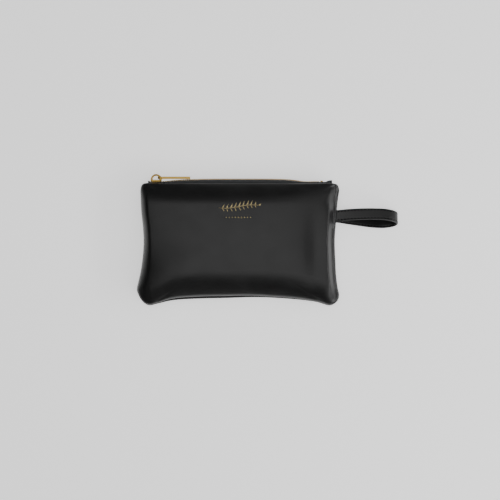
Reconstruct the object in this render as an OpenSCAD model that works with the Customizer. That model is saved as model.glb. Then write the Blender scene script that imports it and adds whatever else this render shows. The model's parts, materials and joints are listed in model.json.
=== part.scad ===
// Zip-top makeup pouch with a wrist strap, lying on its back panel.
// Millimetres. +X runs along the zip towards the strap, +Y from the bottom seam to the zip,
// and +Z out of the front panel. The origin is the middle of the face that the pouch lies on.

/* [Pouch] */
// Width across the two bottom corners
pouch_w = 202; // [194:1:210]
// Height of the leather, from the bottom corners to the mouth edge
pouch_h = 122; // [117:1:127]
// Rise of the front panel's crown above the side seam
front_crown = 19; // [16:1:22]
// Height of the side seam above the surface that the pouch lies on
seam_z = 15; // [13:1:17]
// Thickness of the leather
leather_t = 1.2; // [0.9:0.1:1.4]
// Thickness of the lining
lining_t = 0.4; // [0.3:0.05:0.5]

/* [Zip] */
// Distance between neighbouring teeth of one row
tooth_pitch = 2.2; // [2:0.1:2.6]
// Number of teeth in each row
tooth_count = 75; // [60:1:76]
// Thickness of the woven tape
tape_t = 0.6; // [0.4:0.05:0.65]
// Length of the slider's plates
slider_len = 10.6; // [10:0.1:11]
// Length of the pull tab's bar, beyond its eye
tab_len = 30; // [20:1:36]

/* [Wrist strap] */
// Width of the strap
strap_w = 11.5; // [10:0.5:13]
// Thickness of one of the strap's two layers of leather
strap_layer_t = 0.9; // [0.7:0.05:0.95]
// Distance between neighbouring stitches
stitch_pitch = 3.6; // [3:0.1:5]

/* [Hidden] */

leather_colour = "#1d1d1e";
lining_colour = "#2b2b2e";
tape_colour = "#141415";
thread_colour = "#0c0c0d";
brass_colour = "#c8a14a";

// ---- the pouch's outline, seen from the front, for a pouch 202 wide and 122 high ----
sx = pouch_w / 202;
sy = pouch_h / 122;
outline_shape = [
  // mouth edge, right to left
  [94, 60], [80, 60], [60, 60], [30, 60], [0, 60], [-30, 60], [-60, 60], [-80, 60], [-90, 60],
  // top left corner and left side, pulled in at its middle
  [-94.7, 59], [-96.5, 55], [-97, 43], [-96.4, 30], [-94.8, 15], [-94.2, 2], [-95, -12], [-97, -27], [-99.4, -38],
  // bottom left ear
  [-101, -46], [-98.8, -52.4], [-94.4, -58.6], [-88, -62], [-81, -60.2],
  // bottom seam, pulled up at its middle
  [-66, -57], [-44, -55.4], [-12, -54.6], [18, -53.8], [44, -54.9], [66, -56.8], [80, -59],
  // bottom right ear
  [90, -62], [97, -59.4], [101, -53], [99.6, -45],
  // right side, pulled in at its middle, and top right corner
  [98, -32], [97.2, -16], [96.6, 2], [97.2, 14], [97.8, 20], [98.3, 27], [98.7, 34], [100, 46], [101, 53.4],
  [99, 58.8]
];
samples = 2;                    // curve points for each outline point
middle = [0, 0];                // the point that the domes are drawn round
mouth_y = 60 * sy;
oval = [96 * sx, 57 * sy];      // half sizes of the oval that the domes' inner rings follow
oval_power = 2.6;

// ---- the seam ----
seam_gap = 0.15;                // half the gap between the two panels' edges
mouth_half = 5.4;               // half the mouth's width, between the panels' edges
mouth_left = -91 * sx;          // ends of the stretch where the mouth is at its full width
mouth_right = 95.5 * sx;
mouth_ramp = 4.5;               // length over which the mouth closes to the seam

// ---- the lining ----
lining_gap = 0.35;              // between leather and lining
lining_top = mouth_y - 2.8;     // the lining's mouth edge

// ---- the zip, whose outward direction is +Y ----
zip_y = mouth_y + 1.2;          // middle of the tapes and teeth
tape_left = -89.8 * sx;
tape_right = 94 * sx;
tape_edge = 0.8;                // from the zip's middle plane to each tape's beaded edge
tape_flat = 5.2;                // from the middle plane to the outside of the tape's turned-down leg
tape_leg = 3.7;                 // how far the leg reaches down from the tape's flat
tooth_half_h = 1.1;
tooth_w = 1;
tooth_root = 2.4;               // from the middle plane to the back of a tooth
tooth_nose = 0.45;              // how far a tooth's head passes the middle plane
first_tooth_x = -82.9 * sx;
last_tooth_x = first_tooth_x + (tooth_count - 0.5) * tooth_pitch;
stop_len = 1.5;

// ---- the slider and its pull tab ----
slider_x = -81.8 * sx;
plate_inner = 1.35;             // from the tapes' middle to each plate's inner face
plate_t = 0.95;
head_half = 4.3;                // half the plates' width at the slider's head
tail_half = 3.9;
flange_t = 0.7;
slot_half = 0.55;               // half the side slot that the tape runs through
plate_top = zip_y + plate_inner + plate_t;
bridge_y = plate_top + 0.5;     // centre of the bridge's arc, and the pull tab's pivot
bridge_r = 4.5;
bridge_wire = 0.7;
tab_lift = 0.75;                // from the pivot up to the tab's lower face
tab_t = 1.6;
eye_x = 4.1;
eye_r = 2.65;

// ---- the wrist strap: its loop's centreline as [x, y, height off the loop's axis, roll] ----
strap_x = 99.3 * sx;            // where the two ends leave the side seam
strap_y = 27 * sy;
strap_route = [
  [0, 0.6, 1.05, 0], [11, 1.6, 3.4, 7], [24, 2.3, 5.6, 11], [37, 2.4, 7.2, 13], [48, 1.9, 7.4, 14],
  [56.2, 0.1, 4.8, 14], [59.2, -2.1, 0, 14], [56.2, -4.4, -4.8, 14], [48, -5.8, -7.4, 14],
  [37, -5.5, -7.2, 13], [24, -4, -5.6, 11], [11, -2.2, -3.4, 7], [0, -0.6, -1.05, 0]
];
strap_droop = 6;              // how far the loop's axis falls to its far end
strap_reach = 59.2;
strap_samples = 5;
strap_gap = 0.05;               // half the gap between the two layers
stitch_len = 2.3;
stitch_w = 0.55;
stitch_h = 0.3;
stitch_inset = 1.8;             // from the strap's edge to its row of stitches
sewn_end_len = 6;
sewn_end_t = 3.2;

// ================= curves =================

function smooth(t) = let (c = max(0, min(1, t))) c * c * (3 - 2 * c);

// A point between b and c on the centripetal curve through a, b, c and d.
function curve_point(a, b, c, d, t) =
  let (
    k1 = sqrt(norm(b - a)), k2 = k1 + sqrt(norm(c - b)), k3 = k2 + sqrt(norm(d - c)),
    k = k1 + (k2 - k1) * t,
    a1 = (a * (k1 - k) + b * k) / k1,
    a2 = (b * (k2 - k) + c * (k - k1)) / (k2 - k1),
    a3 = (c * (k3 - k) + d * (k - k2)) / (k3 - k2),
    b1 = (a1 * (k2 - k) + a2 * k) / k2,
    b2 = (a2 * (k3 - k) + a3 * (k - k1)) / (k3 - k1)
  ) (b1 * (k2 - k) + b2 * (k - k1)) / (k2 - k1);

function closed_curve(points, n) =
  let (m = len(points))
  [for (i = [0:m - 1], s = [0:n - 1])
    curve_point(points[(i + m - 1) % m], points[i], points[(i + 1) % m], points[(i + 2) % m], s / n)];

function open_curve(points, n) =
  let (m = len(points), before = 2 * points[0] - points[1], after = 2 * points[m - 1] - points[m - 2],
       all = concat([before], points, [after]))
  concat([for (i = [0:m - 2], s = [0:n - 1])
    curve_point(all[i], all[i + 1], all[i + 2], all[i + 3], s / n)], [points[m - 1]]);

// The anticlockwise closed curve, moved inwards by d, and cut off level at y = top.
function inset_below(curve, d, top) = [for (p = inset(curve, d)) [p[0], min(p[1], top)]];
function inset(curve, d) =
  let (m = len(curve))
  [for (i = [0:m - 1])
    let (t = curve[(i + 1) % m] - curve[(i + m - 1) % m])
    curve[i] + d / norm(t) * [-t[1], t[0]]];

outline = closed_curve([for (p = outline_shape) [p[0] * sx, p[1] * sy]], samples);

// ================= the two halves of the pouch =================

// How far a skin's edge is lifted off the seam: by the mouth, less near its ends, and by the lump at
// the strap.
function edge_lift(p, less) =
  (mouth_half - seam_gap) * smooth((p[1] - mouth_y + 7) / 5)
    * (1 - smooth((p[0] - mouth_right + less) / mouth_ramp))
    * (1 - smooth((mouth_left - p[0] + less) / mouth_ramp))
  + (p[0] > 0 ? 2.2 * smooth((strap_w / 2 + 4 - abs(p[1] - strap_y)) / 4) : 0);

front_rings = [0.2, 0.4, 0.58, 0.72, 0.83, 0.91, 0.965, 1];
back_rings = [0.56, 0.68, 0.78, 0.87, 0.94, 0.98, 1];
function front_rise(r) = pow(1 - pow(r, 2.4), 0.6);
function back_rise(r) = min(1, 1.15 * pow(1 - pow(r, 3), 0.6));

// Distance from the middle to the oval, towards p.
function oval_reach(p) =
  norm(p) / pow(pow(abs(p[0]) / oval[0], oval_power) + pow(abs(p[1]) / oval[1], oval_power), 1 / oval_power);

// A point on the ring at r, which follows the oval near the middle and the curve at r = 1.
function ring_point(p, r) =
  let (d = p - middle, reach = norm(d), near = oval_reach(d))
  middle + d * r * (near + (reach - near) * pow(r, 3)) / reach;

// Rings of points over a dome that rises from the curve to the crown.
function dome(curve, crown, front, lifts) =
  [for (r = front ? front_rings : back_rings) [for (i = [0:len(curve) - 1])
    let (rise = front ? front_rise(r) : back_rise(r))
    concat(ring_point(curve[i], r), seam_gap + (crown - seam_gap) * rise + lifts[i] * pow(r, 12) * (1 - rise))]];

// A closed shell between two domes with the same rings.
module dome_shell(outer, inner, outer_crown, inner_crown) {
  n = len(outer);
  m = len(outer[0]);
  flat = function(rings) [for (ring = rings, p = ring) p];
  points = concat(flat(outer), flat(inner), [concat(middle, outer_crown)], [concat(middle, inner_crown)]);
  top = 2 * n * m;
  o = function(i, j) i * m + j % m;
  q = function(i, j) n * m + i * m + j % m;
  polyhedron(points, concat(
    [for (j = [0:m - 1]) [top, o(0, j + 1), o(0, j)]],
    [for (j = [0:m - 1]) [top + 1, q(0, j), q(0, j + 1)]],
    [for (i = [0:n - 2], j = [0:m - 1]) [o(i, j), o(i, j + 1), o(i + 1, j + 1)]],
    [for (i = [0:n - 2], j = [0:m - 1]) [o(i, j), o(i + 1, j + 1), o(i + 1, j)]],
    [for (i = [0:n - 2], j = [0:m - 1]) [q(i, j), q(i + 1, j + 1), q(i, j + 1)]],
    [for (i = [0:n - 2], j = [0:m - 1]) [q(i, j), q(i + 1, j), q(i + 1, j + 1)]],
    [for (j = [0:m - 1]) [o(n - 1, j), o(n - 1, j + 1), q(n - 1, j + 1)]],
    [for (j = [0:m - 1]) [o(n - 1, j), q(n - 1, j + 1), q(n - 1, j)]]
  ));
}

// A skin of thickness t that lies depth inside the pouch's outline, and ends at y = top.
module skin(depth, t, crown, front, top = mouth_y, less = 0) {
  lifts = [for (p = outline) edge_lift(p, less)];
  dome_shell(
    dome(inset_below(outline, depth, top), crown - depth, front, lifts),
    dome(inset_below(outline, depth + t, top - t), crown - depth - t, front, lifts),
    crown - depth, crown - depth - t
  );
}

module on_front() translate([0, 0, seam_z]) children();
module on_back() translate([0, 0, seam_z]) mirror([0, 0, 1]) children();

lining_depth = leather_t + lining_gap;
// The lining's mouth edge lies below the leather's, to leave room for the tape's leg.
module lining(front) skin(lining_depth, lining_t, front ? front_crown : seam_z, front, lining_top, 6);

module front_panel() color(leather_colour) on_front() skin(0, leather_t, front_crown, true);
module back_panel() color(leather_colour) on_back() skin(0, leather_t, seam_z, false);
module front_lining() color(lining_colour) on_front() lining(true);
module back_lining() color(lining_colour) on_back() lining(false);

// ================= the zip =================

// Runs a profile, drawn as [distance from the zip's middle plane, outward height], along the zip.
module along_zip(x0, x1) {
  translate([x0, zip_y, 0]) rotate([90, 0, 90]) linear_extrude(x1 - x0) mirror([1, 0]) rotate(90) children();
}

module tape() {
  h = tape_t / 2;
  along_zip(tape_left, tape_right) polygon([
    [tape_edge, h], [tape_edge, -h], [tape_flat - tape_t, -h], [tape_flat - tape_t, -tape_leg],
    [tape_flat, -tape_leg], [tape_flat, h - 0.2], [tape_flat - 0.2, h]
  ]);
}

module tooth_profile() {
  h = tooth_half_h;
  polygon([
    [tooth_root, h - 0.3], [tooth_root, -h + 0.3], [tooth_root - 0.4, -h], [0.2, -h],
    [-tooth_nose, -h + 0.4], [-tooth_nose, h - 0.4], [0.2, h], [tooth_root - 0.4, h]
  ]);
}

module teeth(shift) {
  for (i = [0:tooth_count - 1])
    let (x = first_tooth_x + i * tooth_pitch + shift)
      along_zip(x - tooth_w / 2, x + tooth_w / 2) tooth_profile();
}

// Thread of the seam inside the leather's mouth edge, through the tape's leg.
module zip_stitching() {
  pitch = 4;
  count = floor((mouth_right - mouth_left - 12) / pitch);
  for (i = [0:count])
    translate([mouth_left + 6 + i * pitch, mouth_y - leather_t / 2, tape_flat - tape_t - 0.2])
      cylinder(h = tape_t + 1, r = 0.25, $fn = 24);
}

module top_stop() {
  x = slider_x - slider_len / 2 - 0.4 - stop_len;
  along_zip(x, x + stop_len) polygon([[0.3, 1.1], [0.3, -1.1], [2.2, -1.1], [2.2, 1.1]]);
}

module front_zip_tape() color(tape_colour) on_front() tape();
module back_zip_tape() color(tape_colour) on_back() tape();
module front_zip_teeth() color(brass_colour) on_front() teeth(0);
module back_zip_teeth() color(brass_colour) on_back() teeth(tooth_pitch / 2);
module front_zip_stitching() color(thread_colour) on_front() zip_stitching();
module back_zip_stitching() color(thread_colour) on_back() zip_stitching();
module front_top_stop() color(brass_colour) on_front() top_stop();
module back_top_stop() color(brass_colour) on_back() top_stop();

// A clamp over both tapes' edges, open at its sides for the tapes.
module bottom_stop() color(brass_colour) {
  x = last_tooth_x + tooth_w / 2 + 0.8;
  on_front() along_zip(x, x + 2.6) difference() {
    square([4.6, 2.8], center = true);
    for (side = [-1, 1]) translate([side * 2.05, 0]) square([2.9, 2 * slot_half], center = true);
  }
}

// ================= the slider =================

// Turns a shape drawn flat, with its outward direction up, into the zip's frame at the slider.
module at_slider(y) translate([slider_x, y, seam_z]) rotate([-90, 0, 0]) children();

module plate_outline() {
  half = slider_len / 2;
  polygon([
    [-half, -head_half + 1.2], [-half + 1.2, -head_half], [0, -head_half], [half - 1, -tail_half],
    [half, -tail_half + 1], [half, tail_half - 1], [half - 1, tail_half], [0, head_half],
    [-half + 1.2, head_half], [-half, head_half - 1.2]
  ]);
}

// A plate with its two side flanges, which keep the teeth in and let the tape out.
module slider_plate() {
  translate([0, 0, plate_inner]) linear_extrude(plate_t) plate_outline();
  translate([0, 0, slot_half]) linear_extrude(plate_inner - slot_half) intersection() {
    plate_outline();
    for (side = [-1, 1]) translate([0, side * (head_half - flange_t / 2 - 0.05)])
      square([slider_len, flange_t + 0.1], center = true);
  }
}

module slider_body() color(brass_colour) at_slider(zip_y) {
  wedge_w = 1;
  slider_plate();
  mirror([0, 0, 1]) slider_plate();
  // the wedge that parts the teeth
  translate([-slider_len / 2, 0, -plate_inner]) linear_extrude(2 * plate_inner)
    polygon([[0, -wedge_w / 2], [2, -wedge_w / 2], [3.1, 0], [2, wedge_w / 2], [0, wedge_w / 2]]);
}

// A round arch standing on the outer plate.
module slider_bridge() color(brass_colour) translate([slider_x, bridge_y, seam_z]) {
  rotate_extrude(angle = 180, $fn = 96) translate([bridge_r, 0]) circle(bridge_wire, $fn = 32);
  for (side = [-1, 1]) translate([side * bridge_r, plate_top - bridge_y - 0.6, 0]) rotate([-90, 0, 0])
    cylinder(h = bridge_y - plate_top + 0.6, r = bridge_wire, $fn = 32);
}

module pull_tab() color(brass_colour) at_slider(bridge_y + tab_lift) {
  tip = eye_x + tab_len;
  difference() {
    linear_extrude(tab_t) difference() {
      union() {
        translate([eye_x, 0]) circle(eye_r, $fn = 64);
        polygon([[eye_x, -1.7], [tip, -2.2], [tip, 2.2], [eye_x, 1.7]]);
      }
      translate([eye_x - 0.3, 0]) circle(1.05, $fn = 48);
      translate([eye_x + 0.3, 0]) circle(1.05, $fn = 48);
      translate([eye_x, 0]) square([0.6, 2.1], center = true);
    }
    // slanted tip
    translate([tip, -5, 0]) rotate([0, 25, 0]) translate([0, 0, -5]) cube([5, 10, 10]);
  }
}

// ================= the wrist strap =================

strap_curve = open_curve(strap_route, strap_samples);
strap_count = len(strap_curve);

function strap_point(p) =
  [strap_x + p[0], strap_y + p[1], seam_z - strap_droop * p[0] / strap_reach + p[2]];
strap_points = [for (p = strap_curve) strap_point(p)];
strap_widths = [for (p = strap_curve) [0, cos(p[3]), -sin(p[3])]];
strap_normals = [for (i = [0:strap_count - 1])
  let (
    t = strap_points[min(i + 1, strap_count - 1)] - strap_points[max(i - 1, 0)],
    n = cross(t, strap_widths[i])
  ) n / norm(n)];

// One layer of the strap: low and high are its faces' distances outwards from the centreline.
module strap_layer(low, high) {
  half = strap_w / 2;
  corners = [[-half, low], [half, low], [half, high], [-half, high]];
  points = [for (i = [0:strap_count - 1], c = corners)
    strap_points[i] + c[0] * strap_widths[i] + c[1] * strap_normals[i]];
  last = 4 * (strap_count - 1);
  // Both layers' wide faces are split along the same diagonals, so that they lie parallel.
  sides = [for (i = [0:strap_count - 2], k = [0:3])
    [4 * i + k, 4 * i + 4 + k, 4 * i + 4 + (k + 1) % 4, 4 * i + (k + 1) % 4, k]];
  polyhedron(points, concat(
    [[0, 1, 2, 3], [last + 3, last + 2, last + 1, last]],
    [for (s = sides) s[4] == 2 ? [s[0], s[1], s[3]] : [s[0], s[1], s[2]]],
    [for (s = sides) s[4] == 2 ? [s[1], s[2], s[3]] : [s[0], s[2], s[3]]]
  ));
}

// Distance along the strap at each point, for laying stitches at an even pitch.
function lengths(i = 0, sum = 0) =
  i == strap_count ? [] :
  let (s = sum + (i == 0 ? 0 : norm(strap_points[i] - strap_points[i - 1])))
  concat([[s, i]], lengths(i + 1, s));
strap_lengths = lengths();
strap_length = strap_lengths[strap_count - 1][0];

module stitch_row(side, face) {
  for (s = [stitch_pitch:stitch_pitch:strap_length - stitch_pitch / 2]) {
    place = lookup(s, strap_lengths);
    i = min(floor(place), strap_count - 2);
    f = place - i;
    w = strap_widths[i] * (1 - f) + strap_widths[i + 1] * f;
    n = strap_normals[i] * (1 - f) + strap_normals[i + 1] * f;
    z = face * n / norm(n);
    y = w / norm(w);
    x = cross(y, z);
    at = strap_points[i] * (1 - f) + strap_points[i + 1] * f
      + side * (strap_w / 2 - stitch_inset) * y + (strap_layer_t + strap_gap) * z;
    multmatrix([
      [x[0], y[0], z[0], at[0]], [x[1], y[1], z[1], at[1]], [x[2], y[2], z[2], at[2]], [0, 0, 0, 1]
    ]) cube([stitch_len, stitch_w, stitch_h], center = true);
  }
}

module strap_outer_layer() color(leather_colour) strap_layer(strap_gap, strap_gap + strap_layer_t);
module strap_inner_layer() color(leather_colour) strap_layer(-strap_gap - strap_layer_t, -strap_gap);
module strap_stitching() color(thread_colour) for (side = [-1, 1], face = [-1, 1]) stitch_row(side, face);

// The strap's two ends, laid together inside the side seam.
module strap_sewn_end() color(leather_colour)
  translate([strap_x - 0.4 - sewn_end_len, strap_y - strap_w / 2, seam_z - sewn_end_t / 2])
    cube([sewn_end_len, strap_w, sewn_end_t]);

front_panel();
back_panel();
front_lining();
back_lining();
front_zip_tape();
back_zip_tape();
front_zip_teeth();
back_zip_teeth();
front_zip_stitching();
back_zip_stitching();
front_top_stop();
back_top_stop();
bottom_stop();
slider_body();
slider_bridge();
pull_tab();
strap_outer_layer();
strap_inner_layer();
strap_stitching();
strap_sewn_end();
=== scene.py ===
"""The looks of a zip-top makeup pouch with a wrist strap, which lies on its back panel.

Shapes are worked out in millimetres, in the part's own frame: +X runs along the zip towards the
strap, +Y from the bottom seam to the zip, and +Z out of the front panel. piece() turns them into
metres.
"""
import json
import math

import bmesh
import bpy
import numpy as np
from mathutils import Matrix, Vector
from mathutils.bvhtree import BVHTree


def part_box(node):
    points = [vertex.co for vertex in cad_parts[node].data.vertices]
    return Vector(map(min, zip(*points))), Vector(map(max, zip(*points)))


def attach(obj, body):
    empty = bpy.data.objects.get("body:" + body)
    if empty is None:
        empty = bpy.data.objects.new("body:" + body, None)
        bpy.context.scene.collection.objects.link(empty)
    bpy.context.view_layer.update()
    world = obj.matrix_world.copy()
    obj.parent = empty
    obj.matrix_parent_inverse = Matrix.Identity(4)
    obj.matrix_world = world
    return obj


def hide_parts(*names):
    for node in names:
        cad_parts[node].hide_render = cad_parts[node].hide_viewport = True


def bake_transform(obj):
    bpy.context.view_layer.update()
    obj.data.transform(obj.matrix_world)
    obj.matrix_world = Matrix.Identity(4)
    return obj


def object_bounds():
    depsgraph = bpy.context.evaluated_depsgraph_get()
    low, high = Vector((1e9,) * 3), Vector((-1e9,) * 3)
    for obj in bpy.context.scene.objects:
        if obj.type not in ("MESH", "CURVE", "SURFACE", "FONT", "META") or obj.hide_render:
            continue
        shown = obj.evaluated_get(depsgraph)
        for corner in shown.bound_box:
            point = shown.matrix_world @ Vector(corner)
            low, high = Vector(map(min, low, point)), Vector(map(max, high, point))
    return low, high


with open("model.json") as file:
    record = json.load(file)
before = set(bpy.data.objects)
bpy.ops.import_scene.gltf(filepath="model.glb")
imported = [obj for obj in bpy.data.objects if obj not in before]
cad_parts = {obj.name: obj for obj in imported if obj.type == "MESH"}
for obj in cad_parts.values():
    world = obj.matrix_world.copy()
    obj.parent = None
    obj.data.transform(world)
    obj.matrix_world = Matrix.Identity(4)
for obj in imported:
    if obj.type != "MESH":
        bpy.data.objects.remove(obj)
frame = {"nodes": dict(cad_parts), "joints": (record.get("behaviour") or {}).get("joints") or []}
cad_low, cad_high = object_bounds()

MM = 0.001

# ================= places, from the frame =================


def box_mm(node):
    """A CAD node's lowest and highest corner in millimetres."""
    low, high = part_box(node)
    return np.array(low) / MM, np.array(high) / MM


def joint(name):
    """A joint's row in the frame."""
    return next(row for row in frame["joints"] if row["name"] == name)


back_low, back_high = box_mm("back_panel")
front_low, front_high = box_mm("front_panel")
SEAM_Z = (back_high[2] + front_low[2]) / 2      # height of the plane where the two halves meet
CROWN = front_high[2] - SEAM_Z                  # how far the front panel stands above it
MOUTH_Y = front_high[1]
LEATHER_T = 1.2

teeth_low, teeth_high = box_mm("back_zip_teeth")
tape_low, tape_high = box_mm("front_zip_tape")
slider_low, slider_high = box_mm("slider_body")
bridge_low, bridge_high = box_mm("slider_bridge")
ZIP_Y = (teeth_low[1] + teeth_high[1]) / 2
SLIDER_X = (slider_low[0] + slider_high[0]) / 2
SLIDER_TRAVEL = joint("zip_slider_travel")["range_m"][1] / MM

root_low, root_high = box_mm("strap_sewn_end")
STRAP_X = box_mm("strap_outer_layer")[0][0] + 0.3   # where the strap leaves the side seam
STRAP_Y = (root_low[1] + root_high[1]) / 2
STRAP_W = root_high[1] - root_low[1]

# ================= the pouch's outline and seam =================

OUTLINE_SHAPE = [
    # mouth edge, right to left
    (94, 60), (80, 60), (60, 60), (30, 60), (0, 60), (-30, 60), (-60, 60), (-80, 60), (-90, 60.2),
    # top left corner and left side, pulled in at its middle
    (-94.9, 59.5), (-97, 56), (-97.1, 43), (-96.4, 30), (-94.8, 15), (-94.2, 2), (-95, -12),
    (-97, -27), (-99.4, -38),
    # bottom left ear
    (-101, -46), (-99.3, -51.8), (-96.6, -56.4), (-92.8, -60.2), (-88, -61.9), (-81, -60.4),
    # bottom seam, pulled up at its middle
    (-66, -57), (-44, -55.4), (-12, -54.6), (18, -53.8), (44, -54.9), (66, -56.8), (80, -59),
    # bottom right ear
    (86, -60.9), (91.4, -62), (96, -60.4), (99.6, -56.8), (101, -51.6), (99.7, -45),
    # right side, pulled in at its middle, and top right corner
    (98, -32), (97.2, -16), (96.6, 2), (97.2, 14), (97.8, 20), (98.3, 27), (98.7, 34), (100, 46),
    (101, 53.4), (99, 58.8),
]
OUTLINE_SPARE = 0.8         # how much wider the rounded outline is than the CAD panel
STATIONS = 480              # points round the outline
OVAL = np.array([96, 57])   # half sizes of the oval that the panels' inner rings follow
OVAL_POWER = 2.6
MOUTH_HALF = 5.4            # half the mouth's width, between the panels' edges
MOUTH_LEFT = -91
MOUTH_RIGHT = 95.5
MOUTH_FADE = 4.5            # the length over which the mouth closes at each end
MOUTH_FOOT = 7              # how far below the mouth's edge the panels start to part,
MOUTH_RISE = 5              # and the height over which they do
STRAP_LUMP = 2.25           # how far the strap's ends push each panel off the seam
EAR_Y = -46                 # height at which the bottom corners stick out furthest to the sides
EAR_X = 88                  # and the distance from the middle at which they hang lowest


def smooth(t):
    """0 below 0, 1 above 1, and an S-shaped step between."""
    t = np.clip(t, 0, 1)
    return t * t * (3 - 2 * t)


def bell(t):
    """A bump that is 1 at 0 and dies away over a few units."""
    return np.exp(-np.square(t))


def curve_through(points, per_span, closed=False):
    """Points on the centripetal curve through the given points."""
    points = np.asarray(points, float)
    if closed:
        guided = np.vstack([points[-1:], points, points[:2]])
    else:
        before, after = 2 * points[0] - points[1], 2 * points[-1] - points[-2]
        guided = np.vstack([before, points, after])
    made = []
    for a, b, c, d in zip(guided, guided[1:], guided[2:], guided[3:]):
        k1 = math.sqrt(np.linalg.norm(b - a))
        k2 = k1 + math.sqrt(np.linalg.norm(c - b))
        k3 = k2 + math.sqrt(np.linalg.norm(d - c))
        for step in range(per_span):
            k = k1 + (k2 - k1) * step / per_span
            a1 = (a * (k1 - k) + b * k) / k1
            a2 = (b * (k2 - k) + c * (k - k1)) / (k2 - k1)
            a3 = (c * (k3 - k) + d * (k - k2)) / (k3 - k2)
            b1 = (a1 * (k2 - k) + a2 * k) / k2
            b2 = (a2 * (k3 - k) + a3 * (k - k1)) / (k3 - k1)
            made.append((b1 * (k2 - k) + b2 * (k - k1)) / (k2 - k1))
    if not closed:
        made.append(points[-1])
    return np.array(made)


def distances(points):
    """How far along a line of points each one is."""
    return np.concatenate([[0], np.cumsum(np.linalg.norm(np.diff(points, axis=0), axis=1))])


def evenly(points, count, closed=False):
    """The same line with its points at even distances."""
    if closed:
        points = np.vstack([points, points[:1]])
    along = distances(points)
    places = np.linspace(0, along[-1], count + 1 if closed else count)
    if closed:
        places = places[:-1]
    return np.stack([np.interp(places, along, column) for column in points.T], 1)


def follow(value, knots, heights):
    """A smooth function of value that passes through the heights at the knots."""
    line = curve_through(np.stack([knots, heights], 1), 8)
    return np.interp(value, line[:, 0], line[:, 1])


def smoothed_round(values, width):
    """Values round a closed outline, averaged over their neighbours."""
    padded = np.concatenate([values[-width:], values, values[:width]])
    window = np.hanning(2 * width + 1)
    return np.convolve(padded, window / window.sum(), "valid")


outline = evenly(curve_through(OUTLINE_SHAPE, 12, closed=True), STATIONS, closed=True)
outline *= (back_high[0] - back_low[0] + OUTLINE_SPARE) / np.ptp(outline[:, 0])
tangent = np.roll(outline, -1, 0) - np.roll(outline, 1, 0)
tangent /= np.linalg.norm(tangent, axis=1)[:, None]
inward = np.stack([-tangent[:, 1], tangent[:, 0]], 1)


def mouth_share(edge):
    """1 along the mouth, and 0 where the two panels are sewn together."""
    x, y = edge.T
    sides = (1 - smooth((x - MOUTH_RIGHT) / MOUTH_FADE)) * (1 - smooth((MOUTH_LEFT - x) / MOUTH_FADE))
    return smooth((y - MOUTH_Y + MOUTH_FOOT) / MOUTH_RISE) * sides


def strap_lump(edge):
    """How far each panel is pushed off the seam by the strap's ends between them."""
    x, y = edge.T
    return np.where(x > 0, STRAP_LUMP * smooth((STRAP_W / 2 + 6 - np.abs(y - STRAP_Y)) / 5), 0)


BOTTOM_INSET_X = [-102, -84, -66, -34, 4, 32, 60, 84, 102]
BOTTOM_INSET = [0.5, 0.6, 1.9, 2.4, 2.1, 1.3, 1.1, 0.6, 0.5]
RIGHT_INSET_Y = [-62, -30, 0, 21, 33, 39, 45, 54, 61]
RIGHT_INSET = [0.5, 0.4, 0.4, 0.4, 0.5, 1.2, 2.1, 2.1, 0.4]
LEFT_INSET = 0.45
CORNER_INSET = 0.5


def front_seam_inset(edge):
    """How far the seam lies behind the outline, where the back panel's edge shows past the front's."""
    x, y = edge.T
    at_bottom = np.where(np.abs(x) < 90, follow(x, BOTTOM_INSET_X, BOTTOM_INSET), CORNER_INSET)
    at_side = np.where(x > 0, follow(y, RIGHT_INSET_Y, RIGHT_INSET), LEFT_INSET)
    return (1 - mouth_share(edge)) * np.where(y < -50, at_bottom, at_side)


mouth = mouth_share(outline)
lump = strap_lump(outline)
seam_inset = smoothed_round(front_seam_inset(outline), 8)

# ================= mesh building =================


def strip_faces(rows, columns):
    """Quads between rows of points that each join round at their ends."""
    i, j = np.meshgrid(np.arange(rows - 1), np.arange(columns), indexing="ij")
    k = (j + 1) % columns
    corners = [i * columns + j, i * columns + k, (i + 1) * columns + k, (i + 1) * columns + j]
    return np.stack(corners, -1).reshape(-1, 4).tolist()


def tube(rows):
    """A closed part: a skin over closed rows of points, with its two end rows capped."""
    rows = np.asarray(rows)
    count, around = rows.shape[:2]
    last = (count - 1) * around
    ends = [list(range(around)), [last + k for k in range(around)]]
    return rows.reshape(-1, 3), strip_faces(count, around) + ends


def pinched(rows):
    """A closed part whose first and last rows close to the points at their middles."""
    rows = np.asarray(rows)
    count, around = rows.shape[:2]
    points = np.vstack([rows.reshape(-1, 3), rows[0].mean(0), rows[-1].mean(0)])
    first, last = count * around, (count - 1) * around
    fans = [[first, k, (k + 1) % around] for k in range(around)]
    fans += [[first + 1, last + (k + 1) % around, last + k] for k in range(around)]
    return points, strip_faces(count, around) + fans


def piece(name, parts, look, sharp=None):
    """One object made of closed parts, each (points in millimetres, faces).

    Where sharp is given, edges that turn by more than that many degrees aren't shaded smooth.
    """
    points = np.vstack([part[0] for part in parts])
    faces, start = [], 0
    for part_points, part_faces in parts:
        faces += [[start + k for k in face] for face in part_faces]
        start += len(part_points)
    mesh = bpy.data.meshes.new(name)
    mesh.from_pydata((points * MM).tolist(), [], faces)
    work = bmesh.new()
    work.from_mesh(mesh)
    bmesh.ops.recalc_face_normals(work, faces=work.faces)
    work.to_mesh(mesh)
    work.free()
    mesh.shade_smooth()
    if sharp:
        mesh.set_sharp_from_angle(angle=math.radians(sharp))
    mesh.materials.append(look)
    made = bpy.data.objects.new(name, mesh)
    bpy.context.scene.collection.objects.link(made)
    return made


# ================= materials =================


def new_look(name, constants):
    """A material with one Principled shader. Constants are set on its own sockets."""
    look = bpy.data.materials.new(name)
    look.use_nodes = True
    shader = look.node_tree.nodes["Principled BSDF"]
    for socket, value in constants.items():
        shader.inputs[socket].default_value = value
    return look, look.node_tree, shader


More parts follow.
